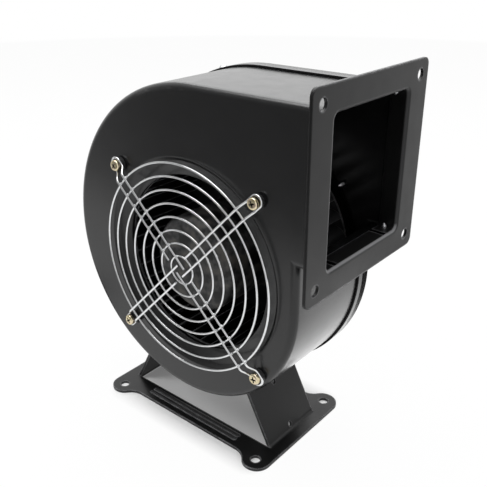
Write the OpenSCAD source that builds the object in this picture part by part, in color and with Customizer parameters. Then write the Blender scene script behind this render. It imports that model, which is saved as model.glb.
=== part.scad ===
// Centrifugal blower: a pressed-steel scroll housing on a folded stand, with a wire guard
// over the inlet, a square outlet flange and a forward-curved impeller on an outer-rotor motor.
// The origin is the middle of the four stand holes, on the underside of the stand.
// The outlet points to +X, the inlet faces -Y and +Z is up.

/* [Scroll housing] */
// Height of the impeller axis above the underside of the stand
axis_z = 125; // [120:1:140]
// Distance of the impeller axis from the middle of the stand, towards the outlet
axis_x = 10; // [4:1:16]
// Depth of the housing from its front face to its back face
housing_d = 80; // [76:1:100]
// Width of the front plate outside the guard screws, where the scroll is narrowest
rim_w = 7.4; // [7:0.1:12]
// How much smaller each following quarter arc of the scroll is, from the top to the right
scroll_step = 10; // [8:0.5:11]
// Distance of the middle of the scroll from the impeller axis, away from the outlet
scroll_shift = 1.5; // [0:0.1:2.5]
// Thickness of the housing sheet
wall = 1.2; // [0.8:0.1:1.6]
// Rounding of the drawn front edge
edge_r = 4; // [3:0.5:6]
// Height of the duct floor above the impeller axis
duct_floor = 24.5; // [22:0.5:32]
// Distance from the impeller axis to the end of the duct
duct_x = 98; // [94:1:110]
// Depth of the skirt of the back cover
skirt_d = 14; // [12:1:20]
// Rounding of the edge of the back cover
cover_edge_r = 5; // [4:0.5:6]

/* [Inlet] */
// Outer radius of the pressed inlet dish
dish_r = 70; // [68:0.5:73]
// Radius of the inlet hole
inlet_r = 58; // [54:0.5:60]
// Depth of the dish at the inlet hole
dish_depth = 5.3; // [4:0.1:6]
// Depth of the steep step at the edge of the dish
dish_step = 2.2; // [1:0.1:3]
// Width of the steep step at the edge of the dish
dish_step_w = 2.4; // [1.5:0.1:4]
// Rounding of the pressed bends of the dish
dish_bend_r = 1.2; // [0.6:0.1:1.2]

/* [Outlet flange] */
// Thickness of the flange plate
flange_t = 1.8; // [1.5:0.1:3]
// Corner radius of the flange plate
flange_corner_r = 4.5; // [2:0.5:8]
// Distance of the flange holes outside the duct
flange_hole_gap = 3.75; // [3.5:0.25:8]
// Width of the flange plate outside the middle of its holes
flange_edge = 8.75; // [7:0.25:12]
// Diameter of the flange holes
flange_hole_d = 6.5; // [4:0.1:8]
// Length of the lips folded into the duct
lip_d = 10; // [8:0.5:14]
// Thickness of the lips
lip_t = 1.5; // [1:0.1:2]
// Corner radius of the opening between the lips
lip_corner_r = 3.5; // [3:0.5:6]
// Bend radius from the flange face into the lips
bend_r = 2.2; // [1.5:0.1:3]
// Width of the relief notches in the top and bottom lips
notch_w = 3.2; // [2:0.1:5]
// Distance of the relief notches from the middle of the flange
notch_y = 26.5; // [20:0.5:28]

/* [Stand] */
// Spacing of the stand holes along the outlet direction
foot_pitch_x = 128; // [118:1:140]
// Spacing of the stand holes across
foot_pitch_y = 79; // [76:1:90]
// Diameter of the stand holes
foot_hole_d = 6.5; // [4:0.1:8]
// Radius of the ears round the stand holes
ear_r = 10; // [8:0.5:12]
// Distance of the middle of each ear inside its hole
ear_inset = 1.2; // [0:0.1:2]
// Radius of the hollow blend between an ear and the long edge
ear_blend_r = 12; // [8:0.5:16]
// Width of the plate on each side of its opening
rail_w = 14.5; // [12:0.5:16]
// Thickness of the stand sheet
stand_t = 2; // [1.5:0.1:2.5]
// Width of the plate outside the foot of each flap
flap_edge = 9.5; // [7:0.5:12]
// Clearance between the flaps and the skirt of the back cover
flap_gap = 1; // [0.5:0.1:3]
// Inside bend radius at the foot of each flap
flap_bend_r = 2.5; // [1:0.5:4]
// Length of the curved tab at the top of each flap
tab_w = 14; // [12:1:18]
// Spacing of the two screws in each tab
tab_screw_pitch = 30; // [20:1:32]
// Length of the stiffening beads
bead_l = 84; // [60:1:88]
// Distance of the middle of each pair of beads from the opening
bead_gap = 6.2; // [5.5:0.1:7]
// Spacing of each pair of beads
bead_pitch = 3.7; // [3.6:0.1:4.4]
// Radius of the beads
bead_r = 1.7; // [1.4:0.1:1.7]
// Height of the beads above the sheet
bead_h = 1.1; // [0.6:0.1:1.3]
// Diameter of the holes in the flaps
flap_hole_d = 3.4; // [2:0.1:5]

/* [Guard] */
// Number of guard rings
ring_count = 8; // [5:1:8]
// Distance of the outer ring inside the edge of the dish
ring_edge = 2; // [1:0.1:4]
// Radius of the innermost ring
ring_first_r = 9.2; // [8:0.1:10]
// Wire radius of the rings
ring_wire_r = 0.7; // [0.6:0.05:1]
// Wire radius of the legs
leg_wire_r = 0.75; // [0.7:0.05:1.1]
// Distance between the two wires of a leg
leg_gap = 7.3; // [6.8:0.1:8]
// Height of the ring plane in front of the housing
guard_h = 5.5; // [5:0.1:8]
// Distance of the guard screws outside the edge of the dish
guard_screw_gap = 9.6; // [9:0.1:12]
// Turn of the legs from the diagonals of the housing, seen from the front
guard_turn = 0.8; // [-3:0.1:3]
// How far the middle of each loop lies outside its screw
loop_slack = 1.3; // [0.5:0.1:1.5]
// Thickness of the rubber spacers under the loops
spacer_t = 2; // [1:0.1:3]
// Outer radius of the rubber spacers
spacer_r = 4.6; // [4.5:0.1:5.5]

/* [Impeller] */
// Outer radius of the impeller
impeller_r = 70; // [67:0.5:70]
// Radial depth of the blades
blade_depth = 12; // [9:0.5:13]
// Number of blades
blade_count = 36; // [24:1:40]
// Thickness of the blades
blade_t = 0.8; // [0.5:0.1:1]
// Radius of the curve of the blades
blade_curve_r = 9; // [8:0.5:12]
// Thickness of the back disc and the front ring
disc_t = 1.2; // [0.8:0.1:1.5]
// Distance of the back disc from the back face of the housing
disc_gap = 7; // [6.4:0.1:8]

/* [Motor] */
// Outer radius of the rotor can
can_r = 32; // [31:0.5:36]
// Thickness of the rotor can
can_t = 1.5; // [1:0.1:2]
// Rounding of the shoulder of the rotor can
can_shoulder_r = 6; // [3:0.5:8]
// Distance of the rotor can behind the front face of the housing
can_inset = 2.7; // [1:0.1:6]
// Width of the flange of the rotor can
can_flange_w = 9; // [8:0.5:12]
// Radius of the motor shaft
shaft_r = 4; // [3:0.5:4.5]
// Outer radius of the bushes
bush_r = 7; // [6:0.5:7.5]
// Outer radius of the bearing tube
tube_r = 11; // [10:0.5:11.5]
// Radius of the motor flange
motor_flange_r = 28; // [26:0.5:29]
// Thickness of the motor flange
motor_flange_t = 5; // [4:0.5:5.5]
// Outer radius of the stator core
stator_r = 23.5; // [22:0.5:24]
// Length of the stator core
stator_l = 30; // [20:1:32]
// Number of stator slots
slot_count = 12; // [8:1:12]
// Clearance for the impeller to pass through the back cover
back_hole_gap = 2; // [1:0.5:4]
// Thickness of the motor plate
motor_plate_t = 2; // [1.5:0.1:3]
// Distance of the motor plate screws outside the opening in the back cover
plate_screw_gap = 4; // [3:0.5:6]
// Width of the motor plate outside its screws
plate_edge = 4; // [3:0.5:6]
// Number of motor plate screws
plate_screw_count = 6; // [4:1:8]
// Angle of the first motor plate screw, seen from the front
plate_screw_turn = 38; // [0:1:59]
// Distance of the cable grommet from the axis
grommet_r = 50; // [40:1:60]

/* [Fasteners] */
// Shank radius of the guard screws and flange screws
m4_r = 2; // [1.5:0.1:2]
// Head radius of the guard screws and flange screws
m4_head_r = 3.8; // [3.6:0.1:4.2]
// Head height of the guard screws and flange screws
m4_head_h = 2.6; // [2:0.1:3]
// Shank radius of the self-tapping screws
tap_r = 1.5; // [1:0.1:1.7]
// Head radius of the self-tapping screws
tap_head_r = 3; // [2.5:0.1:3.2]
// Head height of the self-tapping screws
tap_head_h = 2; // [1.5:0.1:2.4]
// How far the self-tapping screws reach past the sheets
tap_reach = 4; // [2:0.5:5]

/* [Fits] */
// Clearance between the skirt of the back cover and the shell
lap_gap = 0.2; // [0.1:0.05:0.3]
// Clearance between pieces that seat on each other
seat_gap = 0.05; // [0.02:0.01:0.1]
// Radial clearance of the shaft in the bushes
running_gap = 0.03; // [0.02:0.01:0.08]
// Clearance of a screw in its hole
hole_gap = 0.2; // [0.1:0.05:0.3]
// Gap between the stator and the rotor
air_gap = 0.6; // [0.4:0.1:0.8]
// Axial play between turning and fixed faces
end_play = 0.15; // [0.1:0.05:0.3]

/* [Hidden] */
$fn = 64;

// Overshoot of cutting shapes
over = 1;
// Steps along the arcs of a drawn outline and along the bends of the dish
arc_steps = 16;
bend_steps = 4;

// Scroll: three quarter arcs round the corners of a square, then the duct
half_step = scroll_step / 2;
top_arc_x = half_step - scroll_shift;
left_arc_x = -half_step - scroll_shift;
guard_screw_r = dish_r + guard_screw_gap;
arc_c_r = guard_screw_r + scroll_shift + rim_w;
arc_b_r = arc_c_r + scroll_step;
scroll_r = arc_b_r + scroll_step;
scroll_top = half_step + scroll_r;
scroll_right = left_arc_x + arc_c_r;
back_y = housing_d / 2;
shell_rear = cover_edge_r;

// Outlet: a square flange round the duct, the duct bore inside the sheet, and the lips inside it
duct_h = scroll_top - duct_floor;
duct_mid = (scroll_top + duct_floor) / 2;
flange_pitch = max(duct_h, housing_d) + 2 * flange_hole_gap;
flange_w = flange_pitch + 2 * flange_edge;
duct_bore_h = duct_h - 2 * wall;
duct_bore_w = housing_d - 2 * wall;
lip_out_w = duct_bore_w - 2 * seat_gap;
lip_out_h = duct_bore_h - 2 * seat_gap;
lip_in_w = lip_out_w - 2 * lip_t;
lip_in_h = lip_out_h - 2 * lip_t;
lip_screw_x = duct_x - lip_d / 2;
lip_screw_d = wall + lip_t + lip_corner_r;

// Stand: the flaps stand between the skirts and point at the centres of the two lower scroll arcs
flap_w = housing_d - 2 * skirt_d - 2 * flap_gap;
flap_x = foot_pitch_x / 2 + ear_r - flap_edge;
waist_y = flap_w / 2 + rail_w;
bead_y = flap_w / 2 + bead_gap;
arc_x = axis_x + left_arc_x;
right_arc_z = axis_z - half_step;
left_arc_z = axis_z + half_step;
tab_screw_at = 0.55;
flap_hole_low = 3.6;
flap_hole_top = 8.5;

// Guard: the legs cross in front of the rings and slope back to the spacers on the housing
leg_turns = [for (i = [0:3]) 45 + guard_turn + 90 * i];
ring_last_r = dish_r - ring_edge;
ring_pitch = (ring_last_r - ring_first_r) / (ring_count - 1);
ring_d = housing_d + guard_h;
leg_d = ring_d + ring_wire_r + leg_wire_r + seat_gap;
leg_foot_d = housing_d + spacer_t + leg_wire_r + 2 * seat_gap;
leg_slope = 40;
leg_elbow_r = 4;
leg_slope_l = (leg_d - leg_foot_d - 2 * leg_elbow_r * (1 - cos(leg_slope))) / sin(leg_slope);
leg_margin = 1.5;
leg_bend_r = ring_last_r + leg_margin;
leg_foot_r = leg_bend_r + 2 * leg_elbow_r * sin(leg_slope) + leg_slope_l * cos(leg_slope);
leg_long_start = -1;
leg_short_start = ring_first_r + leg_wire_r;
loop_r = guard_screw_r + loop_slack;
guard_head_d = leg_foot_d + leg_wire_r + seat_gap;
nut_h = 3.2;
nut_r = 4;

// Impeller, measured forward from the back face
disc_front = disc_gap + disc_t;
ring_gap = 1.5;
ring_back = housing_d - dish_depth - wall - ring_gap - disc_t;
blade_in_r = impeller_r - blade_depth;
blade_lean = 2.5;
can_front = housing_d - can_inset;
can_screw_r = can_r + can_flange_w / 2;
can_screw_count = 6;
can_screw_angle = 15;

// Motor, measured forward from the back face
back_hole_r = impeller_r + back_hole_gap;
plate_screw_r = back_hole_r + plate_screw_gap;
motor_plate_r = plate_screw_r + plate_edge;
rear_washer_d = 2.6;
washer_t = 0.8;
washer_r = bush_r - washer_t;
bush_l = 11;
bush_inset = 24;
rear_bush_d = rear_washer_d + washer_t + end_play;
front_bush_d = can_front - bush_inset;
tube_front = front_bush_d + bush_l;
front_washer_d = tube_front + end_play;
boss_d = front_washer_d + washer_t;
boss_r = 9;
stator_shift = 4;
stator_mid = (front_bush_d + motor_flange_t) / 2 + stator_shift;
stator_back = stator_mid - stator_l / 2;
insulator_t = 1;
insulator_r = stator_r - insulator_t;
winding_l = 6;
slot_r = 2.6;
slot_inset = 6;
slot_mid_r = stator_r - slot_inset;
slot_mouth = 1.2;
slot_liner = 0.3;
rotor_in_r = stator_r + air_gap;
groove_depth = 0.8;
clip_t = 0.8;
clip_r = shaft_r + 2 * clip_t;
clip_d = rear_washer_d - clip_t - seat_gap;
shaft_back = 0.6;
cap_rim = 3;
cap_r = bush_r + cap_rim;
cap_t = 1.6;
grommet_neck_r = 4.5;
grommet_lip_r = 6.2;
grommet_bore_r = 3;
grommet_lip_t = 1.8;
grommet_turn = 250;
flange_screw_r = 20;
flange_screw_count = 4;

// Fasteners: angles of the skirt screws on the two left arcs, and the cross recess of the heads
skirt_out = lap_gap + wall;
top_seam_turns = [110, 150];
left_seam_turns = [200, 245];
recess_w = 0.26;
recess_l = 1.1;
recess_d = 0.55;

// Paint and metal colours
black_paint = "#2f2f31";
grey_paint = "#47474a";
chrome = "#d8dadc";
zinc_yellow = "#c9b37a";
steel = "#9a9da0";
copper = "#b06a3a";
bronze = "#a0804c";
rubber_black = "#1c1c1c";

// Frame of the scroll: X and Y as seen from the inlet, Z forward from the back face
module scroll_frame() {
    translate([axis_x, back_y, axis_z])
        rotate([90, 0, 0])
            children();
}

// Frame of the outlet: X across, Y up, Z out of the end of the duct
module outlet_frame() {
    translate([axis_x + duct_x, 0, axis_z + duct_mid])
        rotate([90, 0, 90])
            children();
}

module rounded_rect(w, h, r) {
    square([w - 2 * r, h], center = true);
    square([w, h - 2 * r], center = true);
    for (x = [-1, 1], y = [-1, 1])
        translate([x * (w / 2 - r), y * (h / 2 - r)])
            circle(r);
}

// Section of a wall from a centre line out to r, with its front corner rounded by e
module rim_section(r, d0, d1, e) {
    translate([0, d0])
        square([r, d1 - d0 - e]);
    translate([0, d0])
        square([r - e, d1 - d0]);
    translate([r - e, d1 - e])
        circle(e);
}

module rim_quarter(x, y, r, start, d0, d1, e) {
    translate([x, y, 0])
        rotate(start)
            rotate_extrude(angle = 90)
                rim_section(r, d0, d1, e);
}

// Solid scroll and duct, grown sideways, between two depths, with a rounded front edge
module scroll_solid(grow, d0, d1, e, end_x) {
    top = scroll_top + grow;
    bottom = duct_floor - grow;
    right = scroll_right + grow;
    half_h = (top - bottom) / 2;
    rim_quarter(top_arc_x, half_step, scroll_r + grow, 90, d0, d1, e);
    rim_quarter(left_arc_x, half_step, arc_b_r + grow, 180, d0, d1, e);
    rim_quarter(left_arc_x, -half_step, arc_c_r + grow, 270, d0, d1, e);
    translate([left_arc_x, bottom + e, 0])
        rotate([90, 0, 0])
            linear_extrude(bottom + e + half_step)
                rim_section(right - left_arc_x, d0, d1, e);
    for (up = [0, 1])
        translate([top_arc_x, (top + bottom) / 2, 0])
            mirror([0, 1 - up, 0])
                rotate([90, 0, 90])
                    linear_extrude(end_x - top_arc_x)
                        rim_section(half_h, d0, d1, e);
}

// Pan-head screw with a cross recess, its head on the plane z = 0 and its shank below
module pan_screw(shank_r, head_r, head_h, length) {
    dome_r = (head_r * head_r + head_h * head_h) / (2 * head_h);
    slot_w = head_r * recess_w;
    slot_l = head_r * recess_l;
    slot_d = head_h * recess_d;
    difference() {
        intersection() {
            translate([0, 0, head_h - dome_r])
                sphere(dome_r);
            cylinder(h = head_h + over, r = head_r - seat_gap);
        }
        for (turn = [0, 90])
            rotate(turn)
                translate([-slot_l / 2, -slot_w / 2, head_h - slot_d])
                    cube([slot_l, slot_w, slot_d + over]);
    }
    translate([0, 0, -length])
        cylinder(h = length + seat_gap, r = shank_r);
}

// Places of the screws through the skirt: on the duct walls, and round the two left arcs
module at_seam_screws() {
    translate([lip_screw_x, scroll_top + skirt_out, lip_screw_d])
        rotate([-90, 0, 0])
            children();
    translate([lip_screw_x, duct_floor - skirt_out, lip_screw_d])
        rotate([90, 0, 0])
            children();
    for (turn = top_seam_turns)
        translate([top_arc_x, half_step, lip_screw_d])
            rotate([0, 90, turn])
                translate([0, 0, scroll_r + skirt_out])
                    children();
    for (turn = left_seam_turns)
        translate([left_arc_x, half_step, lip_screw_d])
            rotate([0, 90, turn])
                translate([0, 0, arc_b_r + skirt_out])
                    children();
}

module at_guard_screws() {
    for (turn = leg_turns)
        rotate(turn)
            translate([guard_screw_r, 0, 0])
                children();
}

module at_plate_screws() {
    for (i = [0:plate_screw_count - 1])
        rotate(plate_screw_turn + i * 360 / plate_screw_count)
            translate([plate_screw_r, 0, 0])
                children();
}

module at_flange_screws() {
    for (i = [0:flange_screw_count - 1])
        rotate(i * 360 / flange_screw_count)
            translate([flange_screw_r, 0, 0])
                children();
}

module at_can_screws() {
    for (i = [0:can_screw_count - 1])
        rotate(can_screw_angle + i * 360 / can_screw_count)
            translate([can_screw_r, 0, 0])
                children();
}

// Frame of one flap: the arc centre, with -Y pointing down the flap and its outer face at X = 0
function flap_run(side) = side > 0 ? flap_x - arc_x : flap_x + arc_x;
function arc_z(side) = side > 0 ? right_arc_z : left_arc_z;
function arc_r(side) = side > 0 ? arc_c_r : arc_b_r;
function flap_lean(side) = atan2(flap_run(side), arc_z(side) - stand_t);
function flap_reach(side) = norm([flap_run(side), arc_z(side) - stand_t]);
function tab_angle(side) = tab_w / arc_r(side) * 180 / PI;

// Plane of the flap outlines: X along the stand, Y up, extruded across
module flap_plane(side) {
    translate([arc_x, 0, arc_z(side)])
        rotate([90, 0, 0])
            mirror([side > 0 ? 0 : 1, 0, 0])
                children();
}

module at_stand_screws() {
    for (side = [-1, 1], y = [-1, 1])
        flap_plane(side)
            rotate(flap_lean(side) - tab_angle(side) * tab_screw_at)
                translate([0, -arc_r(side) - seat_gap - stand_t, y * tab_screw_pitch / 2])
                    rotate([90, 0, 0])
                        children();
}

function arc_points(centre, r, from, to, steps = arc_steps) =
    let (turns = [for (i = [0:steps]) from + (to - from) * i / steps])
    [for (turn = turns) centre + r * [cos(turn), sin(turn)]];

function reversed(points) = [for (i = [len(points) - 1:-1:0]) points[i]];

// Front face of the dish: a rounded bend into the steep step, then one into the shallow cone
function dish_face() =
    let (foot = [dish_r - dish_step_w, housing_d - dish_step])
    let (steep = atan2(dish_step, dish_step_w))
    let (shallow = atan2(dish_depth - dish_step, foot[0] - inlet_r))
    let (crest = [dish_r + dish_bend_r * tan(steep / 2), housing_d - dish_bend_r])
    let (tangent = dish_bend_r * tan((steep - shallow) / 2))
    let (hollow = foot + tangent * [cos(steep), sin(steep)] + dish_bend_r * [-sin(steep), cos(steep)])
    concat(
        [[dish_r + over, housing_d]],
        arc_points(crest, dish_bend_r, 90, 90 + steep, bend_steps),
        arc_points(hollow, dish_bend_r, 270 + steep, 270 + shallow, bend_steps),
        [[inlet_r, housing_d - dish_depth]]
    );

module inlet_dish() {
    face = dish_face();
    rotate_extrude()
        polygon(concat(face, [for (p = reversed(face)) p - [0, wall]]));
}

module front_shell() {
    color(black_paint)
        difference() {
            scroll_frame() {
                difference() {
                    scroll_solid(0, shell_rear, housing_d, edge_r, duct_x);
                    scroll_solid(-wall, 0, housing_d - wall, edge_r - wall, duct_x + over);
                    cylinder(h = housing_d + over, r = dish_r + over / 2);
                }
                inlet_dish();
            }
            scroll_frame() {
                at_guard_screws()
                    translate([0, 0, housing_d - wall - over])
                        cylinder(h = wall + 2 * over, r = m4_r + hole_gap);
                at_seam_screws()
                    translate([0, 0, -tap_reach])
                        cylinder(h = tap_reach, r = tap_r + seat_gap);
            }
            at_stand_screws()
                translate([0, 0, -tap_reach - stand_t])
                    cylinder(h = tap_reach + stand_t, r = tap_r + seat_gap);
        }
}

module back_cover() {
    color(black_paint)
        scroll_frame()
            difference() {
                mirror([0, 0, 1])
                    scroll_solid(skirt_out, -skirt_d, 0, cover_edge_r, duct_x);
                mirror([0, 0, 1])
                    scroll_solid(lap_gap, -skirt_d - over, -wall, cover_edge_r - wall, duct_x + over);
                translate([0, 0, -over])
                    cylinder(h = wall + 2 * over, r = back_hole_r);
                at_plate_screws()
                    translate([0, 0, -over])
                        cylinder(h = wall + 2 * over, r = tap_r + seat_gap);
                at_seam_screws()
                    translate([0, 0, -wall - lap_gap / 2])
                        cylinder(h = wall + over, r = tap_r + hole_gap);
            }
}

// Waste outside the bend between the flange face and one lip
module bend_section() {
    difference() {
        translate([-over, flange_t - bend_r])
            square([bend_r + over, bend_r + over]);
        translate([bend_r, flange_t - bend_r])
            circle(bend_r);
        translate([-2 * over, flange_t - bend_r - over])
            square([2 * over, over]);
    }
}

module bend_waste() {
    inner_x = lip_in_w / 2 - lip_corner_r;
    inner_y = lip_in_h / 2 - lip_corner_r;
    for (side = [0, 180])
        rotate(side) {
            translate([inner_x + lip_corner_r, inner_y, 0])
                rotate([90, 0, 0])
                    linear_extrude(2 * inner_y)
                        bend_section();
            translate([-inner_x, inner_y + lip_corner_r, 0])
                rotate([90, 0, 90])
                    linear_extrude(2 * inner_x)
                        bend_section();
        }
    for (x = [0, 1], y = [0, 1])
        mirror([x, 0, 0])
            mirror([0, y, 0])
                translate([inner_x, inner_y, 0])
                    rotate_extrude(angle = 90)
                        translate([lip_corner_r, 0])
                            bend_section();
}

module outlet_flange() {
    color(grey_paint)
        difference() {
            outlet_frame()
                difference() {
                    union() {
                        linear_extrude(flange_t)
                            rounded_rect(flange_w, flange_w, flange_corner_r);
                        translate([0, 0, -lip_d])
                            linear_extrude(lip_d + over)
                                rounded_rect(lip_out_w, lip_out_h, lip_corner_r + lip_t);
                    }
                    translate([0, 0, -lip_d - over])
                        linear_extrude(lip_d + flange_t + 2 * over)
                            rounded_rect(lip_in_w, lip_in_h, lip_corner_r);
                    bend_waste();
                    for (x = [-1, 1])
                        translate([x * notch_y - notch_w / 2, -lip_out_h, -lip_d - over])
                            cube([notch_w, 2 * lip_out_h, lip_d + over]);
                    for (x = [-1, 1], y = [-1, 1])
                        translate([x * flange_pitch / 2, y * flange_pitch / 2, -over])
                            cylinder(h = flange_t + 2 * over, d = flange_hole_d);
                }
            scroll_frame()
                at_seam_screws()
                    translate([0, 0, -2 * wall - lip_t - lap_gap - over])
                        cylinder(h = lip_t + over, r = tap_r + seat_gap);
        }
}

// Outline of one flap with its foot bend and the curved tab under the scroll
module flap_outline(side) {
    lean = flap_lean(side);
    reach = flap_reach(side);
    seat_r = arc_r(side) + seat_gap;
    foot = [flap_run(side), stand_t - arc_z(side)];
    blend = foot + [flap_bend_r * (1 - sin(lean)) / cos(lean), flap_bend_r];
    far = 2 * reach;
    tab_end = far * [-sin(tab_angle(side)), -cos(tab_angle(side))];
    intersection() {
        rotate(lean) {
            difference() {
                translate([-stand_t, -far])
                    square([stand_t, far - seat_r]);
                translate([-stand_t, -seat_r - stand_t])
                    difference() {
                        square(stand_t + over);
                        circle(stand_t);
                    }
            }
            intersection() {
                difference() {
                    circle(seat_r + stand_t);
                    circle(seat_r);
                }
                polygon([[0, 0], tab_end, [-stand_t, -far]]);
            }
        }
        translate([-far, -arc_z(side)])
            square([2 * far, arc_z(side)]);
    }
    difference() {
        polygon([
            foot - [0, stand_t / 2], [blend[0], foot[1] - stand_t / 2], blend,
            blend - flap_bend_r * [cos(lean), sin(lean)],
        ]);
        translate(blend)
            circle(flap_bend_r);
    }
    translate([foot[0], -arc_z(side)])
        square([blend[0] - foot[0] + stand_t, stand_t]);
}

module flap(side) {
    lean = flap_lean(side);
    difference() {
        flap_plane(side)
            translate([0, 0, -flap_w / 2])
                linear_extrude(flap_w)
                    flap_outline(side);
        flap_plane(side)
            rotate(lean)
                for (r = [arc_r(side) + flap_hole_top, flap_reach(side) - flap_hole_low])
                    translate([-stand_t - over, -r, 0])
                        rotate([0, 90, 0])
                            cylinder(h = stand_t + 2 * over, d = flap_hole_d);
    }
}

// One corner of the stand plate: round the ear, then the hollow blend into the long edge
function stand_corner() =
    let (ear = [foot_pitch_x / 2, foot_pitch_y / 2 - ear_inset])
    let (reach = ear_r + ear_blend_r)
    let (rise = waist_y + ear_blend_r - ear[1])
    let (blend = [ear[0] - sqrt(reach * reach - rise * rise), ear[1] + rise])
    let (meet = atan2(blend[1] - ear[1], blend[0] - ear[0]))
    concat(arc_points(ear, ear_r, 0, meet), arc_points(blend, ear_blend_r, meet + 180, 270));

function mirrored(points, x, y) = [for (p = points) [p[0] * x, p[1] * y]];

module stand_outline() {
    corner = stand_corner();
    polygon(concat(
        corner, reversed(mirrored(corner, -1, 1)),
        mirrored(corner, -1, -1), reversed(mirrored(corner, 1, -1))
    ));
}

// Half of the section of a bead, from its middle line, down into the sheet
module half_bead_section() {
    intersection() {
        translate([0, bead_h - bead_r])
            circle(bead_r);
        translate([0, -stand_t / 2])
            square([bead_r, stand_t / 2 + bead_h]);
    }
}

// Pressed bead with rounded ends, standing on the sheet at z = 0
module stand_bead() {
    straight = bead_l - 2 * bead_r;
    rotate([90, 0, 90])
        translate([0, 0, -straight / 2])
            linear_extrude(straight)
                for (side = [0, 1])
                    mirror([side, 0])
                        half_bead_section();
    for (side = [0, 1])
        mirror([side, 0, 0])
            translate([straight / 2, 0, 0])
                rotate(-90)
                    rotate_extrude(angle = 180)
                        half_bead_section();
}

module base_stand() {
    opening = [2 * (flap_x - stand_t), flap_w + 2 * seat_gap, stand_t + 2 * over];
    color(grey_paint)
        difference() {
            union() {
                difference() {
                    linear_extrude(stand_t)
                        stand_outline();
                    translate([0, 0, stand_t / 2])
                        cube(opening, center = true);
                }
                for (side = [-1, 1])
                    flap(side);
                for (y = [-1, 1], row = [-1, 1])
                    translate([0, y * bead_y + row * bead_pitch / 2, stand_t])
                        stand_bead();
            }
            for (x = [-1, 1], y = [-1, 1])
                translate([x * foot_pitch_x / 2, y * foot_pitch_y / 2, -over])
                    cylinder(h = stand_t + 2 * over, d = foot_hole_d);
            at_stand_screws()
                translate([0, 0, -stand_t - over])
                    cylinder(h = stand_t + 2 * over, r = tap_r + hole_gap);
        }
}

module stand_screws() {
    color(steel)
        at_stand_screws()
            pan_screw(tap_r, tap_head_r, tap_head_h, stand_t + wall + tap_reach - over);
}

module seam_screws() {
    color(steel)
        scroll_frame()
            at_seam_screws()
                translate([0, 0, seat_gap])
                    pan_screw(tap_r, tap_head_r, tap_head_h, 2 * wall + tap_reach);
}

module guard_rings() {
    color(chrome)
        scroll_frame()
            for (i = [0:ring_count - 1])
                translate([0, 0, ring_d])
                    rotate_extrude()
                        translate([ring_first_r + i * ring_pitch, 0])
                            circle(ring_wire_r);
}

// Bend of a leg wire, where the wire swells slightly
module leg_elbow(x, d, start) {
    translate([x, 0, d])
        rotate([90, 0, 0])
            rotate(start)
                rotate_extrude(angle = leg_slope)
                    translate([leg_elbow_r, 0])
                        circle(leg_wire_r + seat_gap / 2);
}

// One wire of a leg, beside the leg's middle line, from its free end to the screw loop
module leg_wire(start) {
    slope_x = leg_bend_r + leg_elbow_r * sin(leg_slope);
    slope_d = leg_d - leg_elbow_r * (1 - cos(leg_slope));
    translate([start, 0, leg_d])
        rotate([0, 90, 0])
            cylinder(h = leg_bend_r - start + seat_gap, r = leg_wire_r);
    leg_elbow(leg_bend_r, leg_d - leg_elbow_r, 90 - leg_slope);
    translate([slope_x, 0, slope_d])
        rotate([0, 90 + leg_slope, 0])
            translate([0, 0, -seat_gap])
                cylinder(h = leg_slope_l + 2 * seat_gap, r = leg_wire_r);
    leg_elbow(leg_foot_r, leg_foot_d + leg_elbow_r, 270 - leg_slope);
    translate([leg_foot_r - seat_gap, 0, leg_foot_d])
        rotate([0, 90, 0])
            cylinder(h = loop_r - leg_foot_r + 2 * seat_gap, r = leg_wire_r);
}

module guard_legs() {
    color(chrome)
        scroll_frame()
            for (turn = leg_turns)
                rotate(turn) {
                    translate([0, -leg_gap / 2, 0])
                        leg_wire(leg_long_start);
                    translate([0, leg_gap / 2, 0])
                        leg_wire(leg_short_start);
                    translate([loop_r, 0, leg_foot_d])
                        rotate(-90)
                            rotate_extrude(angle = 180)
                                translate([leg_gap / 2, 0])
                                    circle(leg_wire_r + seat_gap / 2);
                }
}

module guard_spacers() {
    color(rubber_black)
        scroll_frame()
            at_guard_screws()
                translate([0, 0, housing_d + seat_gap])
                    difference() {
                        cylinder(h = spacer_t, r = spacer_r);
                        translate([0, 0, -over])
                            cylinder(h = spacer_t + 2 * over, r = m4_r + hole_gap);
                    }
}

module guard_screws() {
    color(zinc_yellow)
        scroll_frame()
            at_guard_screws()
                translate([0, 0, guard_head_d])
                    pan_screw(m4_r, m4_head_r, m4_head_h, guard_head_d - housing_d + wall + nut_h + over);
}

module guard_nuts() {
    color(steel)
        scroll_frame()
            at_guard_screws()
                translate([0, 0, housing_d - wall - nut_h - seat_gap])
                    difference() {
                        rotate(30)
                            cylinder(h = nut_h, r = nut_r, $fn = 6);
                        translate([0, 0, -over])
                            cylinder(h = nut_h + 2 * over, r = m4_r + seat_gap);
                    }
}

module motor_plate() {
    color(black_paint)
        scroll_frame()
            translate([0, 0, -motor_plate_t])
                difference() {
                    cylinder(h = motor_plate_t, r = motor_plate_r);
                    translate([0, 0, -over])
                        cylinder(h = motor_plate_t + 2 * over, r = bush_r);
                    at_plate_screws()
                        translate([0, 0, -over])
                            cylinder(h = motor_plate_t + 2 * over, r = tap_r + hole_gap);
                    at_flange_screws()
                        translate([0, 0, -over])
                            cylinder(h = motor_plate_t + 2 * over, r = m4_r + hole_gap);
                    grommet_place()
                        translate([0, 0, -over])
                            cylinder(h = motor_plate_t + 2 * over, r = grommet_neck_r + seat_gap);
                }
}

module motor_plate_screws() {
    color(steel)
        scroll_frame()
            at_plate_screws()
                translate([0, 0, -motor_plate_t - seat_gap])
                    rotate([180, 0, 0])
                        pan_screw(tap_r, tap_head_r, tap_head_h, motor_plate_t + wall + tap_reach);
}

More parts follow.
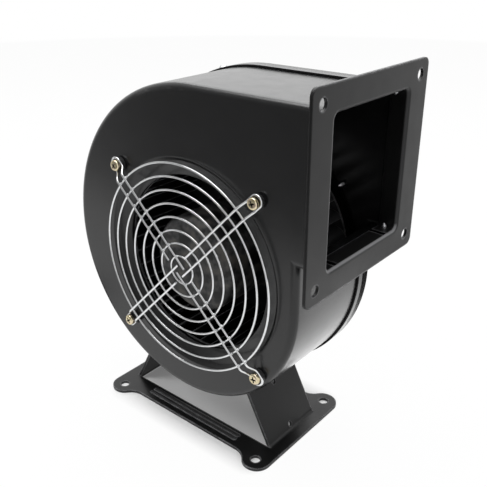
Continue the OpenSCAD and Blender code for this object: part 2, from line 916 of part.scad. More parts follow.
module motor_flange() {
    color(steel)
        scroll_frame()
            difference() {
                union() {
                    cylinder(h = motor_flange_t, r = motor_flange_r);
                    cylinder(h = tube_front, r = tube_r);
                }
                translate([0, 0, -over])
                    cylinder(h = tube_front + 2 * over, r = bush_r + seat_gap);
                at_flange_screws()
                    translate([0, 0, -over])
                        cylinder(h = motor_flange_t + 2 * over, r = m4_r + seat_gap);
            }
}

module motor_flange_screws() {
    color(steel)
        scroll_frame()
            at_flange_screws()
                translate([0, 0, -motor_plate_t - seat_gap])
                    rotate([180, 0, 0])
                        pan_screw(m4_r, m4_head_r, m4_head_h, motor_plate_t + motor_flange_t - over);
}

module bush(d) {
    color(bronze)
        scroll_frame()
            translate([0, 0, d])
                difference() {
                    cylinder(h = bush_l, r = bush_r);
                    translate([0, 0, -over])
                        cylinder(h = bush_l + 2 * over, r = shaft_r + running_gap);
                }
}

module front_bush() {
    bush(front_bush_d);
}

module rear_bush() {
    bush(rear_bush_d);
}

module dust_cap() {
    color(rubber_black)
        scroll_frame()
            translate([0, 0, -motor_plate_t - cap_t]) {
                cylinder(h = cap_t, r = cap_r);
                cylinder(h = cap_t + motor_plate_t, r = bush_r - seat_gap);
            }
}

module grommet_place() {
    rotate(grommet_turn)
        translate([grommet_r, 0, 0])
            children();
}

module cable_grommet() {
    neck_l = motor_plate_t + 2 * seat_gap;
    color(rubber_black)
        scroll_frame()
            grommet_place()
                translate([0, 0, -motor_plate_t - seat_gap])
                    rotate_extrude()
                        difference() {
                            translate([grommet_bore_r, -grommet_lip_t])
                                square([grommet_lip_r - grommet_bore_r, neck_l + 2 * grommet_lip_t]);
                            translate([grommet_neck_r, 0])
                                square([grommet_lip_r, neck_l]);
                        }
}

module stator_core() {
    color(steel)
        scroll_frame()
            translate([0, 0, stator_back])
                linear_extrude(stator_l)
                    difference() {
                        circle(stator_r);
                        circle(tube_r + seat_gap);
                        for (i = [0:slot_count - 1])
                            rotate(i * 360 / slot_count) {
                                translate([slot_mid_r, 0])
                                    circle(slot_r);
                                translate([slot_mid_r, -slot_mouth / 2])
                                    square([stator_r, slot_mouth]);
                            }
                    }
}

module stator_insulators() {
    color("ivory")
        scroll_frame()
            for (d = [stator_back - insulator_t - seat_gap, stator_back + stator_l + seat_gap])
                translate([0, 0, d])
                    linear_extrude(insulator_t)
                        difference() {
                            circle(insulator_r);
                            circle(tube_r + seat_gap);
                            for (i = [0:slot_count - 1])
                                rotate(i * 360 / slot_count)
                                    translate([slot_mid_r, 0])
                                        circle(slot_r);
                        }
}

module stator_windings() {
    end_gap = insulator_t + 2 * seat_gap;
    ring_in = slot_mid_r - slot_r;
    ring_out = slot_mid_r + slot_r;
    color(copper)
        scroll_frame() {
            for (d = [stator_back - end_gap - winding_l, stator_back + stator_l + end_gap])
                translate([0, 0, d])
                    rotate_extrude()
                        translate([ring_in, 0])
                            square([ring_out - ring_in, winding_l]);
            for (i = [0:slot_count - 1])
                rotate(i * 360 / slot_count)
                    translate([slot_mid_r, 0, stator_back - end_gap - over])
                        cylinder(h = stator_l + 2 * end_gap + 2 * over, r = slot_r - slot_liner);
        }
}

module rotor_can() {
    in_r = can_r - can_t;
    in_front = can_front - can_t;
    color(black_paint)
        scroll_frame()
            difference() {
                rotate_extrude() {
                    difference() {
                        rim_section(can_r, disc_front, can_front, can_shoulder_r);
                        rim_section(in_r, disc_front - over, in_front, can_shoulder_r - can_t);
                    }
                    translate([in_r, disc_front])
                        square([can_flange_w + can_t, can_t]);
                    translate([0, boss_d])
                        square([boss_r, in_front - boss_d + seat_gap]);
                }
                cylinder(h = in_front, r = shaft_r + seat_gap / 2);
                at_can_screws()
                    cylinder(h = housing_d / 2, r = tap_r + seat_gap);
            }
}

module rotor_core() {
    color(steel)
        scroll_frame()
            translate([0, 0, stator_back])
                difference() {
                    cylinder(h = stator_l, r = can_r - can_t - seat_gap);
                    translate([0, 0, -over])
                        cylinder(h = stator_l + 2 * over, r = rotor_in_r);
                }
}

module motor_shaft() {
    color(steel)
        scroll_frame()
            difference() {
                translate([0, 0, shaft_back])
                    cylinder(h = can_front - can_t - seat_gap - shaft_back, r = shaft_r);
                translate([0, 0, clip_d - seat_gap])
                    difference() {
                        cylinder(h = clip_t + 2 * seat_gap, r = shaft_r + over);
                        cylinder(h = clip_t + 2 * seat_gap, r = shaft_r - groove_depth);
                    }
            }
}

module thrust_washers() {
    color("ivory")
        scroll_frame()
            for (d = [rear_washer_d, front_washer_d])
                translate([0, 0, d])
                    difference() {
                        cylinder(h = washer_t - seat_gap, r = washer_r);
                        translate([0, 0, -over])
                            cylinder(h = washer_t + 2 * over, r = shaft_r + seat_gap);
                    }
}

module retaining_ring() {
    color(steel)
        scroll_frame()
            translate([0, 0, clip_d])
                difference() {
                    cylinder(h = clip_t, r = clip_r);
                    translate([0, 0, -over])
                        cylinder(h = clip_t + 2 * over, r = shaft_r - groove_depth + seat_gap);
                    translate([0, -shaft_r / 2, -over])
                        cube([2 * shaft_r, shaft_r, clip_t + 2 * over]);
                }
}

module impeller_disc() {
    color(black_paint)
        scroll_frame()
            translate([0, 0, disc_gap])
                difference() {
                    cylinder(h = disc_t, r = impeller_r);
                    translate([0, 0, -over])
                        cylinder(h = disc_t + 2 * over, r = can_r - can_t);
                    at_can_screws()
                        translate([0, 0, -over])
                            cylinder(h = disc_t + 2 * over, r = tap_r + hole_gap);
                }
}

// One forward-curved blade, its tip leaning clockwise as seen from the inlet
module blade_outline() {
    intersection() {
        difference() {
            circle(impeller_r - seat_gap);
            circle(blade_in_r);
        }
        translate([blade_in_r + blade_lean, -blade_curve_r])
            difference() {
                circle(blade_curve_r);
                circle(blade_curve_r - blade_t);
            }
        translate([blade_in_r - blade_curve_r, -blade_curve_r])
            square([2 * blade_depth + blade_curve_r, blade_curve_r + over]);
    }
}

module impeller_blades() {
    color(black_paint)
        scroll_frame()
            translate([0, 0, disc_front])
                for (i = [0:blade_count - 1])
                    rotate(i * 360 / blade_count)
                        linear_extrude(ring_back - disc_front)
                            blade_outline();
}

module impeller_ring() {
    color(black_paint)
        scroll_frame()
            translate([0, 0, ring_back])
                difference() {
                    cylinder(h = disc_t, r = impeller_r);
                    translate([0, 0, -over])
                        cylinder(h = disc_t + 2 * over, r = blade_in_r);
                }
}

module impeller_screws() {
    color(steel)
        scroll_frame()
            at_can_screws()
                translate([0, 0, disc_front + can_t + seat_gap])
                    pan_screw(tap_r, tap_head_r, tap_head_h, disc_t + can_t + over);
}

front_shell();
back_cover();
outlet_flange();
base_stand();
stand_screws();
seam_screws();
guard_rings();
guard_legs();
guard_spacers();
guard_screws();
guard_nuts();
motor_plate();
motor_plate_screws();
motor_flange();
motor_flange_screws();
front_bush();
rear_bush();
dust_cap();
cable_grommet();
stator_core();
stator_insulators();
stator_windings();
rotor_can();
rotor_core();
motor_shaft();
thrust_washers();
retaining_ring();
impeller_disc();
impeller_blades();
impeller_ring();
impeller_screws();
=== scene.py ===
# %% [markdown]
# # A pressed-steel blower
# This lesson dresses a centrifugal blower: a black scroll housing on a folded stand, a chromed wire
# guard over its inlet and a square flange at its outlet. The shapes come from CAD, so Blender adds
# what CAD can't show: paint, plating, threads, weld collars, light and a camera.

# %% Load the frame
import math

import bpy
from mathutils import Matrix, Vector


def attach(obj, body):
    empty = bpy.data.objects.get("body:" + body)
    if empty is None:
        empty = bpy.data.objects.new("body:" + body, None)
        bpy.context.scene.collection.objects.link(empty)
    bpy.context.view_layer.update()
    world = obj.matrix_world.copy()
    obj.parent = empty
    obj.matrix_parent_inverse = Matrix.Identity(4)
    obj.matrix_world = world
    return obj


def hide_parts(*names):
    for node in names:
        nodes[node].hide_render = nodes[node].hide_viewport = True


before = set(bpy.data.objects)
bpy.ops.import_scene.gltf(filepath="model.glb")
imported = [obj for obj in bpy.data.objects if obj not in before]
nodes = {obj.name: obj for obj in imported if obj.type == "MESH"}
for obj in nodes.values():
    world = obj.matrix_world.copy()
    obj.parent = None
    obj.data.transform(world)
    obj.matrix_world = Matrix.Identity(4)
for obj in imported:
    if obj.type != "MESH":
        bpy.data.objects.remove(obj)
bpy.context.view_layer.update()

# %% [markdown]
# ## Camera
# A camera can be aimed by eye, or solved from the photograph. Here the four stand holes, the flange
# corners and the guard screws gave its place, so only the solved numbers are written down. The
# focal length was found in pixels of the square photograph, and a 36 mm sensor turns it into a
# lens.

# %% Place the camera
PHOTO_PIXELS = 487
FOCAL_PIXELS = 671.3
SENSOR_MM = 36.0
NEAREST_SEEN = 0.01
CAMERA_PLACE = Vector((0.27738, -0.30466, 0.31146))
CAMERA_TURN = math.radians(40.044)
CAMERA_DIP = math.radians(24.473)
CAMERA_ROLL = math.radians(-0.2205)

camera_data = bpy.data.cameras.new("photo_camera")
camera_data.sensor_width = SENSOR_MM
camera_data.lens = FOCAL_PIXELS / PHOTO_PIXELS * SENSOR_MM
camera_data.clip_start = NEAREST_SEEN
camera = bpy.data.objects.new("photo_camera", camera_data)
bpy.context.scene.collection.objects.link(camera)
camera.matrix_world = (
    Matrix.Translation(CAMERA_PLACE)
    @ Matrix.Rotation(CAMERA_TURN, 4, "Z")
    @ Matrix.Rotation(math.pi / 2 - CAMERA_DIP, 4, "X")
    @ Matrix.Rotation(CAMERA_ROLL, 4, "Z")
)
bpy.context.scene.camera = camera
bpy.context.scene.view_settings.view_transform = "Standard"
print("camera lens", round(camera_data.lens, 2), "mm")

# %% [markdown]
# ## Node helpers
# A finish is a small tree of shader nodes. Typing every node out would bury the idea of each
# finish, so short helpers make a material, add a node with its sockets filled in, and join two
# sockets. Patterns read Object coordinates, because those stay with a piece when it moves.

# %% Add and join nodes
def blank_finish(name):
    finish = bpy.data.materials.new(name)
    finish.use_nodes = True
    return finish, finish.node_tree.nodes["Principled BSDF"]


def add_node(finish, kind, **values):
    made = finish.node_tree.nodes.new("ShaderNode" + kind)
    for socket, value in values.items():
        made.inputs[socket.replace("_", " ")].default_value = value
    return made


def join(finish, source, target):
    finish.node_tree.links.new(source, target)


def combine(finish, operation, first, second):
    made = add_node(finish, "Math")
    made.operation = operation
    join(finish, first, made.inputs[0])
    join(finish, second, made.inputs[1])
    return made.outputs[0]


def vector_step(finish, operation, source):
    made = add_node(finish, "VectorMath")
    made.operation = operation
    join(finish, source, made.inputs[0])
    return made


def split_axes(finish, source):
    parts = add_node(finish, "SeparateXYZ")
    join(finish, source, parts.inputs["Vector"])
    return parts.outputs


def object_place(finish):
    return add_node(finish, "TexCoord").outputs["Object"]


print("helpers for single nodes ready")

# %% [markdown]
# ## From noise to finish
# Real paint and plating are never even. A noise wanders over the surface, and each helper below
# spreads it into what the shader needs: a colour, a roughness or a small bump. Sharp CAD edges
# catch no light, so the Bevel node rounds them in the shading while the mesh stays as it is.

# %% Chain nodes into a finish
def object_noise(finish, scale, detail=2.0):
    noise = add_node(finish, "TexNoise", Scale=scale, Detail=detail)
    join(finish, object_place(finish), noise.inputs["Vector"])
    return noise.outputs["Fac"]


def spread(finish, source, low, high, start=0.35, end=0.65):
    ranged = add_node(finish, "MapRange", From_Min=start, From_Max=end, To_Min=low, To_Max=high)
    join(finish, source, ranged.inputs["Value"])
    return ranged.outputs["Result"]


def blend_colours(finish, source, stops):
    ramp = add_node(finish, "ValToRGB")
    while len(ramp.color_ramp.elements) < len(stops):
        ramp.color_ramp.elements.new(0.5)
    for element, (place, colour) in zip(ramp.color_ramp.elements, stops):
        element.position = place
        element.color = (*colour, 1.0)
    join(finish, source, ramp.inputs["Fac"])
    return ramp.outputs["Color"]


def lay_over(finish, share, under, colour):
    mixed = add_node(finish, "MixRGB", Color2=(*colour, 1.0))
    join(finish, share, mixed.inputs["Fac"])
    join(finish, under, mixed.inputs["Color1"])
    return mixed.outputs["Color"]


def roughen(finish, shader, source, low, high):
    join(finish, spread(finish, source, low, high), shader.inputs["Roughness"])


def rounded_edges(finish, radius):
    return add_node(finish, "Bevel", Radius=radius).outputs["Normal"]


def emboss(finish, shader, source, depth, under=None):
    bump = add_node(finish, "Bump", Distance=depth)
    join(finish, source, bump.inputs["Height"])
    if under:
        join(finish, under, bump.inputs["Normal"])
    join(finish, bump.outputs["Normal"], shader.inputs["Normal"])


print("helpers for finishes ready")

# %% [markdown]
# ## Where edges catch light
# The edges of the sheet are lightened to grey as a painted highlight for the light that their small
# rounding catches, broken into patches like worn paint. Edges could be painted by hand, but the
# Bevel node finds them: where its rounded normal parts from the true normal there is an edge. A
# face that looks to the front and a strip of the object can be left out of the painted highlight.

# %% Find painted edge highlights
EDGE_PATCH_GRAIN = 240.0
LEAST_EDGE_PATCH = 0.45
EDGE_LIKENESS = (0.86, 0.99)
FRONT_FACING = (-0.5, -0.1)


def true_normal(finish):
    return add_node(finish, "NewGeometry").outputs["True Normal"]


# Painted highlight: grey along the edges, in patches like worn paint.
def edge_highlights_and_wear(finish, reach, unhighlit_strip=None):
    likeness = vector_step(finish, "DOT_PRODUCT", rounded_edges(finish, reach))
    join(finish, true_normal(finish), likeness.inputs[1])
    worn = spread(finish, likeness.outputs["Value"], 1.0, 0.0, *EDGE_LIKENESS)
    patches = spread(finish, object_noise(finish, EDGE_PATCH_GRAIN, detail=4.0), LEAST_EDGE_PATCH, 1.0)
    if unhighlit_strip:
        facing = split_axes(finish, true_normal(finish))
        turned_away = spread(finish, facing["Y"], 0.0, 1.0, *FRONT_FACING)
        patches = combine(finish, "MULTIPLY", patches, turned_away)
        places = split_axes(finish, object_place(finish))
        beyond_strip = spread(finish, places["Y"], 0.0, 1.0, *unhighlit_strip)
        patches = combine(finish, "MULTIPLY", patches, beyond_strip)
    return combine(finish, "MULTIPLY", worn, patches)


print("worn edges ready")

# %% [markdown]
# ## Highlit bends and a drawn pan
# The lips of the flange are bent round into the duct, and the bends that look up or back get a
# painted highlight in grey, so the true normal picks them out. The back cover is a drawn pan, and
# its wall leans in a little towards the back. A bump that falls steadily along Y tilts the normal
# by that slope.

# %% Find the painted bend highlights and the taper
BEND_STARTS = (0.15, 0.35)
BEND_ENDS = (0.72, 0.93)
UPWARD_FACING = (0.0, 0.4)
BACKWARD_FACING = (0.05, 0.3)
LEAST_UPWARD_HIGHLIGHT = 0.10
BACKWARD_HIGHLIGHT = 0.9


# Painted highlight on the bends that look up or back.
def bend_highlights(finish, share):
    facing = split_axes(finish, true_normal(finish))
    on_bend = spread(finish, facing["X"], 0.0, share, *BEND_STARTS)
    off_face = spread(finish, facing["X"], 1.0, 0.0, *BEND_ENDS)
    upward = spread(finish, facing["Z"], LEAST_UPWARD_HIGHLIGHT, 1.0, *UPWARD_FACING)
    backward = spread(finish, facing["Y"], 0.0, BACKWARD_HIGHLIGHT, *BACKWARD_FACING)
    upward_bend = combine(finish, "MULTIPLY", upward, off_face)
    highlit_share = combine(finish, "MAXIMUM", upward_bend, backward)
    return combine(finish, "MULTIPLY", on_bend, highlit_share)


def drawn_taper(finish, start, slope, edge_radius):
    places = split_axes(finish, object_place(finish))
    fall = spread(finish, places["Y"], 0.0, -slope, start, start + 1.0)
    lean = add_node(finish, "Bump", Distance=1.0)
    join(finish, fall, lean.inputs["Height"])
    join(finish, rounded_edges(finish, edge_radius), lean.inputs["Normal"])
    return lean.outputs["Normal"]


print("bends and taper ready")

# %% [markdown]
# ## Black paint
# The housing is sprayed a smooth semi-gloss black, and the flange and the stand a flatter, greyer
# black. Both have a fine orange peel from the spray gun and a faint mottling. One recipe makes them
# all, and each paint says only how it differs: its tones, its spray, how sharp its edges are and
# where its edges and bends get a painted highlight.

# %% Write the paint recipe
# Grey laid over edges and bends as a painted highlight, with patches like worn paint on the edges.
HIGHLIGHT_AND_WEAR_GREY = (0.30, 0.30, 0.31)
SPRAY_GRAIN = 95.0


def black_paint(
    name, tones, edge_radius, gloss, ior, peel,
    edge_highlight_reach=0.0, bend_highlight_share=0.0, unhighlit_strip=None, taper=None, mottle=38.0,
):
    finish, shader = blank_finish(name)
    coat = blend_colours(finish, object_noise(finish, mottle, detail=4.0), tones)
    # Painted highlight: grey over the edges and the bends.
    if edge_highlight_reach:
        coat = lay_over(finish, edge_highlights_and_wear(finish, edge_highlight_reach, unhighlit_strip), coat, HIGHLIGHT_AND_WEAR_GREY)
    if bend_highlight_share:
        coat = lay_over(finish, bend_highlights(finish, bend_highlight_share), coat, HIGHLIGHT_AND_WEAR_GREY)
    join(finish, coat, shader.inputs["Base Color"])
    roughen(finish, shader, object_noise(finish, SPRAY_GRAIN, detail=3.0), *gloss)
    shader.inputs["IOR"].default_value = ior
    if taper:
        under = drawn_taper(finish, *taper, edge_radius)
    else:
        under = rounded_edges(finish, edge_radius)
    peel_scale, peel_depth = peel
    emboss(finish, shader, object_noise(finish, peel_scale), peel_depth, under)
    return finish


print("paint recipe ready")

# %% Mix the black paints
SHEET_EDGE = 0.0004
SHELL_EDGE = 0.0012
# Reaches of the painted edge highlight on the sheet pieces and the rotor.
SHEET_EDGE_HIGHLIGHT = 0.0016
ROTOR_EDGE_HIGHLIGHT = 0.0008
COVER_TAPER = (0.0300, 0.36)
# Strip of the flange that gets no painted edge highlight.
FLANGE_UNHIGHLIT_STRIP = (-0.0560, -0.0500)
SMOOTH_SPRAY = {"gloss": (0.22, 0.25), "ior": 1.5, "peel": (900.0, 0.000006)}
FLAT_SPRAY = {"gloss": (0.32, 0.38), "ior": 1.33, "peel": (1300.0, 0.00002)}
ROTOR_SPRAY = {"gloss": (0.34, 0.42), "ior": 1.45, "peel": (1000.0, 0.00003)}
CAN_SPRAY = {"gloss": (0.36, 0.55), "ior": 1.45, "peel": (1000.0, 0.00003)}
SHELL_TONES = [(0.3, (0.0052, 0.0053, 0.0056)), (0.7, (0.0068, 0.0069, 0.0072))]
SHEET_TONES = [(0.3, (0.0050, 0.0050, 0.0052)), (0.7, (0.0070, 0.0070, 0.0072))]
ROTOR_TONES = [(0.3, (0.012, 0.012, 0.013)), (0.7, (0.018, 0.018, 0.019))]
CAN_TONES = [
    (0.42, (0.006, 0.006, 0.006)), (0.5, (0.036, 0.036, 0.037)), (0.6, (0.075, 0.070, 0.062)),
]

shell_paint = black_paint("shell_paint", SHELL_TONES, SHELL_EDGE, **SMOOTH_SPRAY)
cover_paint = black_paint(
    "cover_paint", SHELL_TONES, SHEET_EDGE, **SMOOTH_SPRAY, taper=COVER_TAPER
)
sheet_paint = black_paint(
    "sheet_paint", SHEET_TONES, SHELL_EDGE, **FLAT_SPRAY, edge_highlight_reach=SHEET_EDGE_HIGHLIGHT
)
flange_paint = black_paint(
    "flange_paint", SHEET_TONES, SHELL_EDGE, **FLAT_SPRAY,
    edge_highlight_reach=SHEET_EDGE_HIGHLIGHT, bend_highlight_share=0.8, unhighlit_strip=FLANGE_UNHIGHLIT_STRIP,
)
rotor_paint = black_paint(
    "rotor_paint", ROTOR_TONES, SHEET_EDGE, **ROTOR_SPRAY, edge_highlight_reach=ROTOR_EDGE_HIGHLIGHT
)
can_paint = black_paint("can_paint", CAN_TONES, SHEET_EDGE, **CAN_SPRAY, mottle=130.0)
paint_names = [finish.name for finish in bpy.data.materials if finish.name.endswith("_paint")]
print("paints:", ", ".join(paint_names))

# %% [markdown]
# ## Plated and bare metal
# The guard is chromed wire, its screws are yellow zinc, and the small screws and the shaft are bare
# steel. Metal gets its colour from its reflections, so each is a metallic shader whose roughness
# wanders a little. Ambient Occlusion finds the hollows, such as the crosses in the screw heads and
# the grooves of the threads, and darkens their colour there as painted shade.

# %% Write the metal recipe
HOLLOW_REACH = 0.0016
HOLLOW_SHADE = (0.55, 0.9)
WIRE_EDGE = 0.0003
PLATING_CLOUDS = 420.0


def metal(name, stops, gloss, grain, hollow_shade_colour=None):
    finish, shader = blank_finish(name)
    shader.inputs["Metallic"].default_value = 1.0
    clouds = object_noise(finish, PLATING_CLOUDS, detail=3.0)
    plating = blend_colours(finish, clouds, stops)
    if hollow_shade_colour:
        # Painted shade: colour darkened in the hollows that Ambient Occlusion finds.
        hollows = add_node(finish, "AmbientOcclusion", Distance=HOLLOW_REACH).outputs["AO"]
        hollow_darkening = spread(finish, hollows, 1.0, 0.0, *HOLLOW_SHADE)
        plating = lay_over(finish, hollow_darkening, plating, hollow_shade_colour)
    join(finish, plating, shader.inputs["Base Color"])
    grain_scale, grain_depth = grain
    grains = object_noise(finish, grain_scale)
    roughen(finish, shader, grains, *gloss)
    emboss(finish, shader, grains, grain_depth, rounded_edges(finish, WIRE_EDGE))
    return finish


print("metal recipe ready")

# %% Make the metals
chrome_wire = metal(
    "chrome_wire", [(0.3, (0.72, 0.73, 0.74)), (0.7, (0.82, 0.825, 0.83))],
    gloss=(0.08, 0.18), grain=(900.0, 0.00001),
)
yellow_zinc = metal(
    "yellow_zinc",
    [(0.3, (0.60, 0.50, 0.29)), (0.5, (0.74, 0.66, 0.46)), (0.7, (0.72, 0.57, 0.46))],
    gloss=(0.14, 0.24), grain=(1500.0, 0.00001), hollow_shade_colour=(0.03, 0.022, 0.012),
)
bright_steel = metal(
    "bright_steel", [(0.3, (0.46, 0.47, 0.48)), (0.7, (0.58, 0.59, 0.60))],
    gloss=(0.25, 0.38), grain=(1200.0, 0.00001), hollow_shade_colour=(0.03, 0.03, 0.032),
)
dull_steel = metal(
    "dull_steel", [(0.3, (0.20, 0.20, 0.21)), (0.7, (0.34, 0.34, 0.35))],
    gloss=(0.22, 0.36), grain=(1200.0, 0.00001), hollow_shade_colour=(0.02, 0.02, 0.021),
)
cast_aluminium = metal(
    "cast_aluminium", [(0.3, (0.60, 0.61, 0.62)), (0.7, (0.70, 0.71, 0.72))],
    gloss=(0.42, 0.58), grain=(700.0, 0.00008),
)
sintered_bronze = metal(
    "sintered_bronze", [(0.3, (0.42, 0.28, 0.13)), (0.7, (0.56, 0.40, 0.21))],
    gloss=(0.4, 0.55), grain=(1800.0, 0.00004),
)
print("metals:", chrome_wire.name, yellow_zinc.name, bright_steel.name, dull_steel.name)

# %% [markdown]
# ## Motor materials
# Inside the rotor can the cores are stacks of thin sheets and the coils are enamelled wire. Their
# pattern is a wave along the shaft: half a millimetre a sheet, and a little more for a turn of
# wire.

# %% Stack sheets and wind wire
BAND_WANDER = 0.6
BAND_GRAIN = 500.0


def banded(name, tones, metallic, gloss, bands):
    finish, shader = blank_finish(name)
    shader.inputs["Metallic"].default_value = metallic
    band_scale, band_depth = bands
    wave = add_node(finish, "TexWave", Scale=band_scale, Distortion=BAND_WANDER)
    wave.bands_direction = "Y"
    join(finish, object_place(finish), wave.inputs["Vector"])
    colour = blend_colours(finish, wave.outputs["Fac"], tones)
    join(finish, colour, shader.inputs["Base Color"])
    roughen(finish, shader, object_noise(finish, BAND_GRAIN), *gloss)
    emboss(finish, shader, wave.outputs["Fac"], band_depth)
    return finish


laminations = banded(
    "laminations", [(0.2, (0.16, 0.165, 0.175)), (0.8, (0.34, 0.345, 0.36))],
    metallic=1.0, gloss=(0.4, 0.55), bands=(600.0, 0.00006),
)
enamelled_copper = banded(
    "enamelled_copper", [(0.2, (0.26, 0.07, 0.02)), (0.8, (0.62, 0.24, 0.08))],
    metallic=0.85, gloss=(0.2, 0.35), bands=(420.0, 0.0002),
)
print("banded materials:", laminations.name, enamelled_copper.name)

# %% [markdown]
# ## Rubber and plastic
# The dust cap, the grommet and the spacers under the guard are rubber, and the slot insulators are
# ivory plastic. Moulded pieces are even in colour, so a fine grain in the gloss and the bump is all
# they need.

# %% Mould rubber and plastic
MOULD_CLOUDS = 160.0


def moulded(name, tones, gloss, grain):
    finish, shader = blank_finish(name)
    clouds = object_noise(finish, MOULD_CLOUDS, detail=3.0)
    colour = blend_colours(finish, clouds, tones)
    join(finish, colour, shader.inputs["Base Color"])
    grain_scale, grain_depth = grain
    grains = object_noise(finish, grain_scale)
    roughen(finish, shader, grains, *gloss)
    emboss(finish, shader, grains, grain_depth, rounded_edges(finish, SHEET_EDGE))
    return finish


black_rubber = moulded(
    "black_rubber", [(0.3, (0.012, 0.012, 0.013)), (0.7, (0.024, 0.024, 0.025))],
    gloss=(0.6, 0.8), grain=(1500.0, 0.00005),
)
smooth_rubber = moulded(
    "smooth_rubber", [(0.3, (0.034, 0.034, 0.035)), (0.7, (0.046, 0.046, 0.047))],
    gloss=(0.28, 0.36), grain=(900.0, 0.00001),
)
ivory_plastic = moulded(
    "ivory_plastic", [(0.3, (0.66, 0.61, 0.50)), (0.7, (0.74, 0.70, 0.60))],
    gloss=(0.4, 0.55), grain=(900.0, 0.00003),
)
print("moulded materials:", black_rubber.name, smooth_rubber.name, ivory_plastic.name)

# %% [markdown]
# ## Dress the CAD nodes
# Every CAD node keeps its mesh and gets one finish. The table reads like a parts list: the finish
# first, then the nodes that have it.

# %% Give each node its finish
DRESSING = [
    (shell_paint, ["front_shell", "motor_plate"]),
    (cover_paint, ["back_cover"]),
    (flange_paint, ["outlet_flange"]),
    (sheet_paint, ["base_stand"]),
    (rotor_paint, ["impeller_disc", "impeller_blades", "impeller_ring"]),
    (can_paint, ["rotor_can"]),
    (chrome_wire, ["guard_rings", "guard_legs"]),
    (yellow_zinc, ["guard_screws"]),
    (bright_steel, ["guard_nuts", "stand_screws", "seam_screws", "motor_plate_screws",
                    "motor_flange_screws", "impeller_screws", "motor_shaft", "retaining_ring"]),
    (cast_aluminium, ["motor_flange"]),
    (sintered_bronze, ["front_bush", "rear_bush"]),
    (laminations, ["stator_core", "rotor_core"]),
    (enamelled_copper, ["stator_windings"]),
    (black_rubber, ["dust_cap", "cable_grommet"]),
    (smooth_rubber, ["guard_spacers"]),
    (ivory_plastic, ["stator_insulators", "thrust_washers"]),
]
for finish, members in DRESSING:
    for name in members:
        nodes[name].data.materials.clear()
        nodes[name].data.materials.append(finish)
dressed = sum(len(members) for _, members in DRESSING)
print("dressed", dressed, "of", len(nodes), "nodes")

# %% [markdown]
# ## Modelling by hand
# Small shop-made details are modelled the way one would at the screen: add a primitive, pick points
# by where they are, push them about and let a modifier finish the form. Three helpers do the
# picking, the copying and the dressing, so each piece below shows only its own shape.

# %% Make the modelling helpers
def pick_points(piece, wanted):
    bpy.ops.object.mode_set(mode="EDIT")
    bpy.ops.mesh.select_mode(type="VERT")
    bpy.ops.mesh.select_all(action="DESELECT")
    bpy.ops.object.mode_set(mode="OBJECT")
    for point in piece.data.vertices:
        point.select = wanted(point.co)
    bpy.ops.object.mode_set(mode="EDIT")


def spread_copies(piece, places):
    twins = []
    for place in places[1:]:
        twin = piece.copy()
        twin.data = piece.data.copy()
        twin.data.transform(place)
        bpy.context.scene.collection.objects.link(twin)
        twins.append(twin)
    piece.data.transform(places[0])
    bpy.ops.object.select_all(action="DESELECT")
    for member in [piece, *twins]:
        member.select_set(True)
    bpy.context.view_layer.objects.active = piece
    bpy.ops.object.join()


def dress_piece(piece, finish):
    piece.data.materials.clear()
    piece.data.materials.append(finish)
    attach(piece, "housing")
    print(piece.name, "has", len(piece.data.polygons), "faces")


print("modelling helpers ready")

# %% [markdown]
# ## Guard welds
# A wire guard is spot welded: each leg wire is pressed hot onto a ring until the two sink together
# and a collar of metal squeezes out, which the chrome then covers. A plain ball would look like
# solder, so the ball is flattened into the joint and its middle is pulled out into the collar.

# %% Shape one weld
MIDDLE = (0.0, 0.0, 0.0)
WELD_RADIUS = 0.0009
WELD_FLATTENING = (1.25, 0.6, 0.95)
WELD_WAIST = 0.25 * WELD_RADIUS
WELD_COLLAR = (1.12, 0.6, 1.15)

bpy.ops.object.select_all(action="DESELECT")
bpy.ops.mesh.primitive_uv_sphere_add(
    segments=12, ring_count=8, radius=WELD_RADIUS, rotation=(math.pi / 2, 0.0, 0.0)
)
welds = bpy.context.object
welds.name = "guard_welds"
bpy.ops.object.transform_apply(location=True, rotation=True, scale=True)
pick_points(welds, lambda point: True)
bpy.ops.transform.resize(value=WELD_FLATTENING, center_override=MIDDLE)
pick_points(welds, lambda point: abs(point.y) < WELD_WAIST)
bpy.ops.transform.resize(value=WELD_COLLAR, center_override=MIDDLE)
bpy.ops.object.mode_set(mode="OBJECT")
rounding = welds.modifiers.new("rounding", "SUBSURF")
rounding.levels = 1
rounding.render_levels = 1
bpy.ops.object.modifier_apply(modifier=rounding.name)
bpy.ops.object.shade_smooth()
print("one weld has", len(welds.data.polygons), "faces")

# %% Weld every crossing
AXIS = Vector((0.010, 0.0, 0.125))
RING_FIRST = 0.0092
RING_LAST = 0.0680
RING_COUNT = 8
RING_PITCH = (RING_LAST - RING_FIRST) / (RING_COUNT - 1)
LEG_GAP = 0.0073
LEG_TURNS = [math.radians(45.8 + 90.0 * leg) for leg in range(4)]
LEG_WIRES = [(-0.5, 0), (0.5, 1)]
WELD_Y = -0.04622

weld_places = []
for turn in LEG_TURNS:
    along = Vector((math.cos(turn), 0.0, math.sin(turn)))
    across = Vector((-math.sin(turn), 0.0, math.cos(turn)))
    for side, first_ring in LEG_WIRES:
        for ring in range(first_ring, RING_COUNT):
            reach = math.sqrt((RING_FIRST + ring * RING_PITCH) ** 2 - (side * LEG_GAP) ** 2)
            place = AXIS + along * reach + across * side * LEG_GAP + Vector((0.0, WELD_Y, 0.0))
            weld_places.append(Matrix.Translation(place) @ Matrix.Rotation(-turn, 4, "Y"))
spread_copies(welds, weld_places)
dress_piece(welds, chrome_wire)
print("welded", len(weld_places), "crossings")

# %% [markdown]
# ## Threads of the sheet-metal screws
# The tips of the screws that hold the cover and the motor plate come through into the scroll, and
# two of them show in the outlet. CAD draws them as plain pins. A real one has a coarse thread that
# runs out towards a point, so a small triangle is wound up round the pin with a Screw modifier, and
# a cone makes the point.

